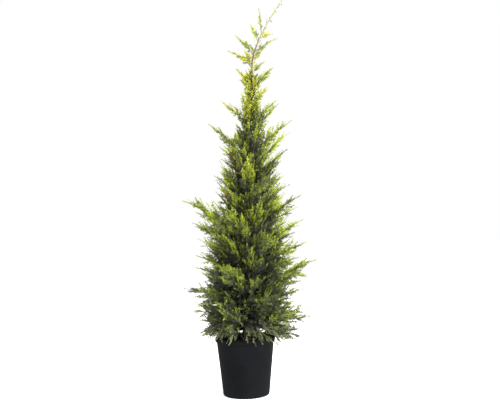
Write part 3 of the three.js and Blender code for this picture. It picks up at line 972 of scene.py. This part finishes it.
def out_share(points):
    """How far points stand out from the trunk, as shares of the crown's radius there."""
    away = np.linalg.norm((points - trunk_at(points[:, 2]))[:, :2], axis=1)
    return away / (crown_radius(points[:, 2]) + OUT_MARGIN)


def is_free(points, floor=0.0):
    """Which points lie above a floor, outside the pot and inside the part's box."""
    away = np.hypot(points[:, 0], points[:, 1])
    over_rim = away > pot_inside(POT_HEIGHT) - POT_KEEP_OUT
    ground = np.where(over_rim, POT_HEIGHT, SOIL_TOP + SOIL_RELIEF) + POT_KEEP_OUT
    in_pot = (away < POT_RIM_RADIUS + POT_KEEP_OUT) & (points[:, 2] < ground)
    low, high = np.array(CAD_BOX[0]) - BOX_MARGIN, np.array(CAD_BOX[1]) + BOX_MARGIN
    return ~in_pot & (points[:, 2] > floor) & np.all((points > low) & (points < high), axis=1)


def is_bronzed(place):
    """Whether a spray on the front stands at one of the bronze places."""
    across_up = np.array(BRONZE_PLACES) - place[[0, 2]]
    return place[1] < 0 and np.min(np.linalg.norm(across_up, axis=1)) < BRONZE_RADIUS


class Crown:
    """All the foliage, gathered by tint, with its twigs."""

    def __init__(self):
        self.rng = None  # Each limb sets its own.
        self.tints = {name: Heap() for name in TINTS}
        self.twigs = {name: Heap() for name in TWIGS}

    def tint_of(self, place, along, lift, mood, turned):
        """The tint of each branchlet, by a score that is higher where it is brighter."""
        height = place[:, 2]
        # Sprays further in score lower: partly their own darker foliage, partly painted shade of
        # the crown's inside.
        out = np.maximum(np.interp(out_share(place), *OUT_BRIGHT), np.interp(height, *TOP_BRIGHT))
        up = np.clip((height - POT_HEIGHT) / (TRUNK_TIP - POT_HEIGHT), 0, 1)
        # The lift term is painted light on upward branchlets and painted shade on downward ones.
        score = (OUT_WEIGHT * out ** OUT_POWER + ALONG_WEIGHT * along + UP_WEIGHT * up
                 + LIFT_PAINTED_LIGHT_WEIGHT * lift + mood - SCORE_DROP)
        score += np.interp(height, *HEIGHT_BRIGHT)
        score += self.rng.normal(0, SCORE_VARIES, len(place))
        least = np.round(np.interp(out, *LEAST_GREENS)).astype(int)
        names = np.array(GREENS)[np.maximum(np.searchsorted(GREEN_STEPS, score), least)]
        if self.rng.random() < np.interp(height[-1], *YELLOW_SHARES):
            names = np.array([YELLOWER.get(name, name) for name in names])
        if turned:
            changed = (score > TURNED_ABOVE) & (self.rng.random(len(place)) < TURNED_SHARE)
            names = np.where(changed, np.where(along < TURNED_FOOT, *turned), names)
        return names

    def feather(self, axis, across, width, mood, turned=None, first=BRANCHLET_FIRST,
                step=BRANCHLET_STEP, floor=0.0, taper=FEATHER_TAPER):
        """The branchlets of one feather, in two rows along its axis."""
        rng = self.rng
        middle = axis.at(DEPTH_SHARE)
        outside = max(out_share(middle)[0], np.interp(middle[0, 2], *TOP_BRIGHT))
        coarse = float(np.interp(outside, *DEEP_COARSER))
        count = max(LEAST_NUMBER, round(axis.length * (1 - first) / step / coarse))
        steps = np.arange(count) + rng.uniform(*BRANCHLET_STEP_VARIES, count)
        along = lerp(first, BRANCHLET_LAST, steps / count)
        side = np.where(np.arange(count) % 2, 1.0, -1.0)[:, None]
        root, forward = axis.at(along), axis.tangent(along)
        row = square(across, forward)
        face = np.cross(forward, row)
        roll = rng.normal(0, BRANCHLET_ROLL_VARIES, count)[:, None]
        out = side * (row * np.cos(roll) + face * np.sin(roll))
        angle = lerp(*BRANCHLET_ANGLES, along) * rng.normal(1, BRANCHLET_ANGLE_VARIES, count)
        angle = np.radians(angle)[:, None]
        way = forward * np.cos(angle) + out * np.sin(angle)
        varies = rng.normal(1, BRANCHLET_LENGTH_VARIES, count).clip(*BRANCHLET_LENGTH_SHARES)
        length = np.maximum(width * flame(along, taper) * varies, BRANCHLET_LEAST)[:, None]
        tip = root + unit(way + BRANCHLET_CURL * forward) * length
        bend = root + way * length * 0.5
        keep = is_free(tip, floor) & is_free(root, floor)
        tints = self.tint_of(root, along, ((tip - root) / length)[:, 2], mood, turned)
        if is_free(axis.tip[None], floor)[0]:
            ends = axis.at(END_BLADE)[:, None]
            blades(self.tints[tints[-1]], *ends, row[:1], BRANCHLET_HALF_WIDTH * coarse)
        kept = (each[keep] for each in (tints, root, bend, tip, out, length))
        self.branchlets(*kept, coarse)

    def branchlets(self, tints, root, bend, tip, out, length, coarse):
        """Branchlets with their shoots."""
        rng = self.rng
        middle = curve(root, bend, tip, 0.5)
        flipped = out * rng.choice(SIGNS, (len(root), 1))
        number = np.clip(np.round(length[:, 0] / SHOOT_STEP / coarse), 1, MOST_SHOOTS)
        which, rank = np.nonzero(np.arange(MOST_SHOOTS)[None, :] < number[:, None])
        count = len(rank)
        share = ((rank + rng.uniform(*SHOOT_STEP_VARIES, count)) / number[which])[:, None]
        stem = root[which], bend[which], tip[which]
        foot, forward = curve(*stem, share), curve_way(*stem, share)
        row = square(out[which], forward)
        face = np.cross(forward, row)
        side = np.where(rank % 2, 1.0, -1.0)[:, None]
        tilt = rng.normal(0, SHOOT_TILT_VARIES, count)[:, None]
        angle = np.radians(SHOOT_ANGLE * rng.normal(1, SHOOT_ANGLE_VARIES, count))[:, None]
        way = unit(forward * np.cos(angle) + side * row * np.sin(angle) + face * tilt)
        longest = np.minimum(SHOOT_LENGTH * coarse,
                             SHOOT_LENGTH_SHARE * length[which] + SHOOT_LEAST)
        varies = rng.uniform(*SHOOT_LENGTH_VARIES, (count, 1))
        reach = longest * lerp(1, SHOOT_TIP_SHARE, share) * varies
        end = foot + unit(way + SHOOT_CURL * forward) * reach
        widest = foot + way * reach * SHOOT_WIDEST
        across = (forward * side - row) * rng.choice(SIGNS, (count, 1))
        for name in np.unique(tints):
            heap, own, shoots = self.tints[name], tints == name, tints[which] == name
            blades(heap, root[own], middle[own], tip[own], flipped[own],
                   BRANCHLET_HALF_WIDTH * coarse)
            blades(heap, foot[shoots], widest[shoots], end[shoots], across[shoots],
                   SHOOT_HALF_WIDTH * coarse)

    def twig(self, axis, across, thick, kind):
        share = np.linspace(0, 1, TWIG_STEPS)
        radii = lerp(thick, TWIG_TIP_RADIUS, share)
        tube(self.twigs[kind], axis.at(share), across, radii, TWIG_SIDES)

    def feather_length(self, limb, share):
        """How long a feather is at a share of its limb's way."""
        longest = min(FEATHER_LENGTH, FEATHER_LENGTH_SHARE * limb.length)
        to_tip = np.interp(limb.tip[2], *PLUME_TO_TIP) if limb.stands_out else BODY_TO_TIP
        varies = 1 + self.rng.uniform(-FEATHER_LENGTH_VARIES, FEATHER_LENGTH_VARIES)
        length = longest * lerp(1, FEATHER_TIP_SHARE, share) * varies
        return min(length, to_tip * (1 - share) * limb.length + FEATHER_LEAST)

    def grow_feather(self, limb, rank, share, mood):
        """A feather at a share of its limb's way, unless it would leave the room it has."""
        rng = self.rng
        tangent, root = limb.tangent(share)[0], limb.at(share)[0]
        angle = lerp(*FEATHER_ANGLES, share) + rng.normal(0, FEATHER_ANGLE_VARIES)
        angle = math.radians(angle)
        roll = FEATHER_ROLL if rank % 4 < 2 else -FEATHER_ROLL
        roll += rng.normal(0, FEATHER_ROLL_VARIES)
        turn = math.radians(roll + (180 if rank % 2 else 0))
        out = limb.level * math.cos(turn) + np.cross(tangent, limb.level) * math.sin(turn)
        length = self.feather_length(limb, share)
        way = tangent * math.cos(angle) + out * math.sin(angle)
        across = out * math.cos(angle) - tangent * math.sin(angle)
        lift = np.interp(root[2], *FEATHER_LIFTS) + rng.normal(0, FEATHER_LIFT_VARIES)
        lifted = unit(way + FEATHER_CURL * tangent + lift * UP)
        axis = Axis(root, root + way * length * 0.5, root + lifted * length)
        if not np.all(is_free(axis.at([0, 1]), limb.floor)):
            return
        mood = mood + rng.normal(0, FEATHER_MOOD_VARIES)
        turned = BRONZED if is_bronzed(axis.at(BRONZE_READ_AT)[0]) else None
        if limb.bare and rng.random() < GREY_FEATHERS:
            turned = GREYED
        width = min(FEATHER_WIDEST, FEATHER_WIDTH * length)
        self.feather(axis, across, width, mood, turned, floor=limb.floor)
        kind = "grey" if limb.bare else "brown" if mood < 0 else "green"
        self.twig(axis, across, TWIG_RADIUS, kind)

    def grow(self, limb, number):
        """The feathers along a limb and the one that ends it, by a seed of its own."""
        rng = self.rng = np.random.default_rng((SEED, number))
        mood = rng.normal(*LIMB_MOODS) + limb.mood + (FOOT_MOOD if limb.bare else 0)
        if limb.bare:
            self.twig(limb, limb.level, FOOT_TWIG_RADIUS, "grey")
        else:
            self.twig(limb.end(BARK_END), limb.level, GREEN_END_RADIUS, "green")
        first = max(np.interp(limb.length, *FEATHER_FIRSTS), limb.bare)
        count = max(LEAST_NUMBER, round(limb.length * (FEATHER_LAST - first) / FEATHER_STEP))
        for i in range(count):
            step = (i + rng.uniform(*FEATHER_STEP_VARIES)) / count
            self.grow_feather(limb, i, lerp(first, FEATHER_LAST, step), mood)
        across = limb.spun(rng.uniform(0, math.pi))
        width = min(TERMINAL_WIDTH, FEATHER_WIDTH * limb.length)
        mood = mood + rng.normal(0, TERMINAL_MOOD_VARIES)
        self.feather(limb, across, width, mood, first=max(TERMINAL_FIRST, limb.bare),
                     floor=limb.floor, taper=TERMINAL_TAPER)

    def grow_spray(self, limb):
        """A slender spray of the leader."""
        across = limb.spun(LEADER_SPIN)
        self.twig(limb.end(BARK_END), across, GREEN_END_RADIUS, "green")
        self.feather(limb, across, LEADER_WIDTH, LEADER_MOOD, first=LEADER_FIRST,
                     step=LEADER_STEP, taper=LEADER_TAPER)

    def grow_sprigs(self):
        """Small scattered sprays up the bare leader to its tip."""
        middle = trunk_at(np.linspace(SPRIG_START, TRUNK_TIP, SPRIGS))
        for i in range(1, SPRIGS - 1):
            forward, across = unit(middle[i + 1] - middle[i]), bearing(GOLDEN_ANGLE * i)
            length = lerp(*SPRIG_LENGTHS, (i / SPRIGS) ** SPRIG_LENGTH_POWER)
            length *= self.rng.uniform(*SPRIG_LENGTH_VARIES)
            way = forward * math.cos(SPRIG_ANGLE) + across * math.sin(SPRIG_ANGLE)
            spray = Axis(middle[i], middle[i] + way * length / 2, middle[i] + way * length)
            self.twig(spray, across, STEM_TIP_RADIUS, "green")
            self.feather(spray, BACKWARD, SPRIG_WIDTH, SPRIG_MOOD, first=SPRIG_FIRST,
                         step=SPRIG_STEP)

    def make(self):
        """One piece or a few of each tint, and one of each kind of twig."""
        for name, heap in self.tints.items():
            material = plain_material(f"leaf_{name}", *TINTS[name])
            for i, share in enumerate(heap.shares(MOST_TRIANGLES)):
                make_piece(f"foliage_{name}_{i + 1}", *share.mesh(), material, "foliage",
                           FOLIAGE_NODES)
        for name, heap in self.twigs.items():
            material = plain_material(f"twig_{name}", TWIGS[name], TWIG_ROUGHNESS, TWIG_SPECULAR)
            make_piece(f"twigs_{name}", *heap.mesh(), material, "bark", FOLIAGE_NODES)


# ---- stage ----


def make_lights():
    for name, (place, target, size, power) in LIGHTS.items():
        light = bpy.data.lights.new(name, "AREA")
        light.size = size
        light.energy = power
        lamp = placed(name, light)
        lamp.location = place
        lamp.rotation_euler = (Vector(target) - Vector(place)).to_track_quat("-Z", "Y").to_euler()


def make_world(seen, lit):
    """White all round, as bright as seen to the camera and as lit to the tree."""
    nodes = Nodes(bpy.data.worlds.new("studio"))
    strength = nodes.spread(nodes.add("LightPath", "Is Camera Ray"), lit, seen)
    bpy.context.scene.world = nodes.shade("Background", Color=WHITE, Strength=strength)


def make_stage():
    corners = FLOOR_HALF * np.array([(-1, -1, 0), (1, -1, 0), (1, 1, 0), (-1, 1, 0)])
    floor = new_object("floor", corners, [np.array([(0, 1, 2, 3)])], floor_material())
    make_world(seen=1.0, lit=0.85)
    make_lights()
    bpy.context.scene.view_settings.view_transform = "Standard"


def make_camera():
    """At the photograph's height and distance, tipped up a little and not quite level."""
    camera = bpy.data.cameras.new("camera")
    camera.lens = 48.94
    camera.sensor_width = 36
    holder = placed("camera", camera)
    tipped = Matrix.Rotation(math.radians(90 + CAMERA_PITCH), 4, "X")
    rolled = Matrix.Rotation(math.radians(-CAMERA_ROLL), 4, "Z")
    holder.matrix_world = Matrix.Translation(CAMERA_PLACE) @ tipped @ rolled
    bpy.context.scene.camera = holder


def make_tree():
    rng = np.random.default_rng(SEED)
    make_pot()
    make_compost(rng)
    limbs = [limb for side in SIDES for limb in side_limbs(side)]
    limbs += lesser_limbs(rng, LESSER_LIMBS, LESSER_REACH)
    limbs += lesser_limbs(rng, INNER_LIMBS, INNER_REACH)
    low = foot_limbs(rng)
    more = placed_limbs() + lesser_limbs(rng, TOP_LIMBS, TOP_REACH, TOP_HEIGHTS)
    sprays = [leader_limb(*spray) for spray in LEADER_SPRAYS]
    make_trunk(limbs + more + sprays)
    crown = Crown()
    for i, limb in enumerate(limbs + low + more):
        crown.grow(limb, i)
    for spray in sprays:
        crown.grow_spray(spray)
    crown.grow_sprigs()
    crown.make()


make_stage()
make_camera()
make_tree()
